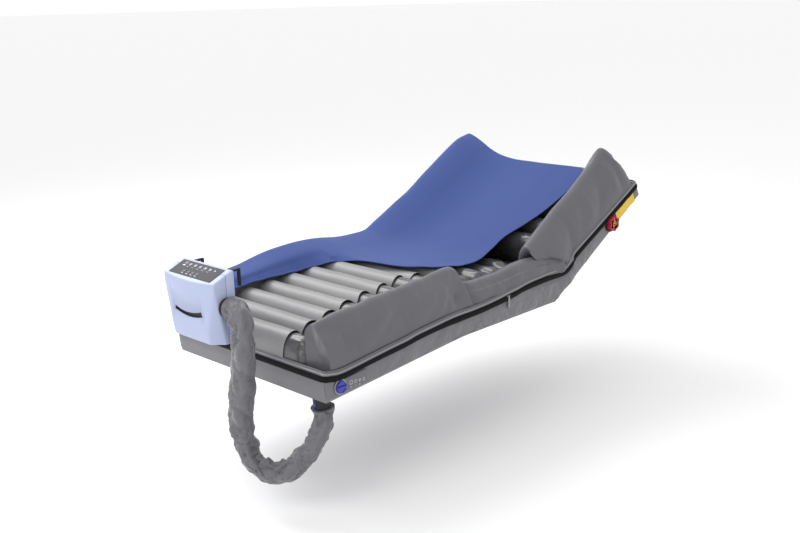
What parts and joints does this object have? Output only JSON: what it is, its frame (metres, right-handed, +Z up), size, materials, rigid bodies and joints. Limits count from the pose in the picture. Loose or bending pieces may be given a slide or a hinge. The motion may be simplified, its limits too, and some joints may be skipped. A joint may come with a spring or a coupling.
{
  "type": "pressure relief mattress",
  "caption": "Alternating-air pressure relief mattress with its top cover laid back over transverse cells, side bolsters, and a hung pump on a sleeved hose.",
  "frame": {"origin": "middle of the seat section's flat underside, where it lies on the bed's deck", "axes": "+X along the bed from the foot end to the head end, +Y to the far side (the side away from the knobs), +Z up"},
  "size_m": [2.1645, 0.92, 0.9683],
  "materials": {
    "cell_film": "coated nylon, satin",
    "cover": "matte stretch knit",
    "side_fabric": "satin coated nylon",
    "tray_fabric": "matte coated nylon",
    "zip_tape": "woven tape",
    "zip_metal": "satin",
    "label_film": "printed film",
    "blue_plastic": "moulded, semi-gloss",
    "red_plastic": "moulded, gloss",
    "yellow_tag": "coated webbing",
    "case_plastic": "fine moulded texture",
    "panel_film": "satin film",
    "button_film": "satin film",
    "dark_plastic": "moulded",
    "foot_rubber": "matte",
    "compressor_metal": "cast",
    "sleeve_fabric": "coated nylon, creased"
  },
  "bodies": {
    "seat": {"seat_base": "tray_fabric", "seat_cell_1": "cell_film", "seat_cell_2": "cell_film", "seat_cell_3": "cell_film", "seat_cell_4": "cell_film", "seat_cell_5": "cell_film", "seat_cell_6": "cell_film", "seat_bolster_near": "side_fabric", "seat_bolster_far": "side_fabric", "seat_zip": "zip_tape", "seat_cover": "cover", "hip_cover": "cover", "hip_gussets": "side_fabric", "pump_front": "case_plastic", "pump_back": "case_plastic", "pump_panel": "panel_film", "pump_collar": "dark_plastic", "pump_inlet": "dark_plastic", "pump_feet": "foot_rubber", "compressor": "compressor_metal", "hose_sleeve": "sleeve_fabric"},
    "calf": {"calf_base": "tray_fabric", "calf_cell_1": "cell_film", "calf_cell_2": "cell_film", "calf_cell_3": "cell_film", "calf_cell_4": "cell_film", "calf_cell_5": "cell_film", "calf_cell_6": "cell_film", "calf_cell_7": "cell_film", "calf_bolster_near": "side_fabric", "calf_bolster_far": "side_fabric", "calf_zip": "zip_tape", "calf_cover": "cover", "knob_plate": "label_film", "hose_coupling": "dark_plastic"},
    "back": {"back_base": "tray_fabric", "back_cell_1": "cell_film", "back_cell_2": "cell_film", "back_cell_3": "cell_film", "back_cell_4": "cell_film", "back_cell_5": "cell_film", "back_cell_6": "cell_film", "back_cell_7": "cell_film", "back_bolster_near": "side_fabric", "back_bolster_far": "side_fabric", "back_zip": "zip_tape", "back_cover": "cover", "cpr_bezel": "dark_plastic", "cpr_strap": "yellow_tag"},
    "slider": {"zip_slider": "zip_metal"},
    "transport_knob": {"transport_knob": "blue_plastic"},
    "cpr_knob": {"cpr_knob": "red_plastic"},
    "hook_near": {"hook_near": "dark_plastic"},
    "hook_far": {"hook_far": "dark_plastic"},
    "rocker": {"pump_switch": "dark_plastic"},
    "latch": {"coupling_latch": "blue_plastic"},
    "button_1": {"pump_button_1": "button_film"},
    "button_2": {"pump_button_2": "button_film"},
    "button_3": {"pump_button_3": "button_film"},
    "button_4": {"pump_button_4": "button_film"}
  },
  "joints": [
    {"name": "back_raise", "type": "hinge", "parent": "seat", "child": "back", "pos_m": [0.29, 0, 0], "axis": [0, -1, 0], "range_deg": [-30, 30], "deforming": ["hip_cover", "hip_gussets", "seat_cell_6", "back_cell_1"]},
    {"name": "calf_lower", "type": "hinge", "parent": "seat", "child": "calf", "pos_m": [-0.29, 0, 0], "axis": [0, 1, 0], "range_deg": [-10.5, 4.5], "deforming": ["hose_sleeve"]},
    {"name": "zip_slide", "type": "slide", "parent": "seat", "child": "slider", "axis": [1, 0, 0], "range_m": [-0.12, 0.16]},
    {"name": "transport_knob_turn", "type": "hinge", "parent": "calf", "child": "transport_knob", "pos_m": [-0.97251, -0.445, -0.00757], "axis": [0, -1, 0], "range_deg": [0, 90]},
    {"name": "cpr_knob_turn", "type": "hinge", "parent": "back", "child": "cpr_knob", "pos_m": [0.67836, -0.445, 0.27734], "axis": [0, -1, 0], "range_deg": [0, 90]},
    {"name": "hook_near_fold", "type": "hinge", "parent": "seat", "child": "hook_near", "pos_m": [-1.136, -0.064, 0.33], "axis": [0, 0, 1], "range_deg": [0, 88]},
    {"name": "hook_far_fold", "type": "hinge", "parent": "seat", "child": "hook_far", "pos_m": [-1.136, 0.156, 0.33], "axis": [0, 0, 1], "range_deg": [-88, 0]},
    {"name": "power_rock", "type": "hinge", "parent": "seat", "child": "rocker", "pos_m": [-1.165, 0.1925, 0.217], "axis": [1, 0, 0], "range_deg": [-9, 9]},
    {"name": "latch_press", "type": "slide", "parent": "calf", "child": "latch", "axis": [0.9969, 0, 0.0785], "range_m": [0, 0.0018], "stiffness_N_per_m": 600},
    {"name": "button_1_press", "type": "slide", "parent": "seat", "child": "button_1", "axis": [0.3876, 0, -0.9218], "range_m": [0, 0.0007], "stiffness_N_per_m": 900},
    {"name": "button_2_press", "type": "slide", "parent": "seat", "child": "button_2", "axis": [0.3876, 0, -0.9218], "range_m": [0, 0.0007], "stiffness_N_per_m": 900},
    {"name": "button_3_press", "type": "slide", "parent": "seat", "child": "button_3", "axis": [0.3876, 0, -0.9218], "range_m": [0, 0.0007], "stiffness_N_per_m": 900},
    {"name": "button_4_press", "type": "slide", "parent": "seat", "child": "button_4", "axis": [0.3876, 0, -0.9218], "range_m": [0, 0.0007], "stiffness_N_per_m": 900}
  ]
}
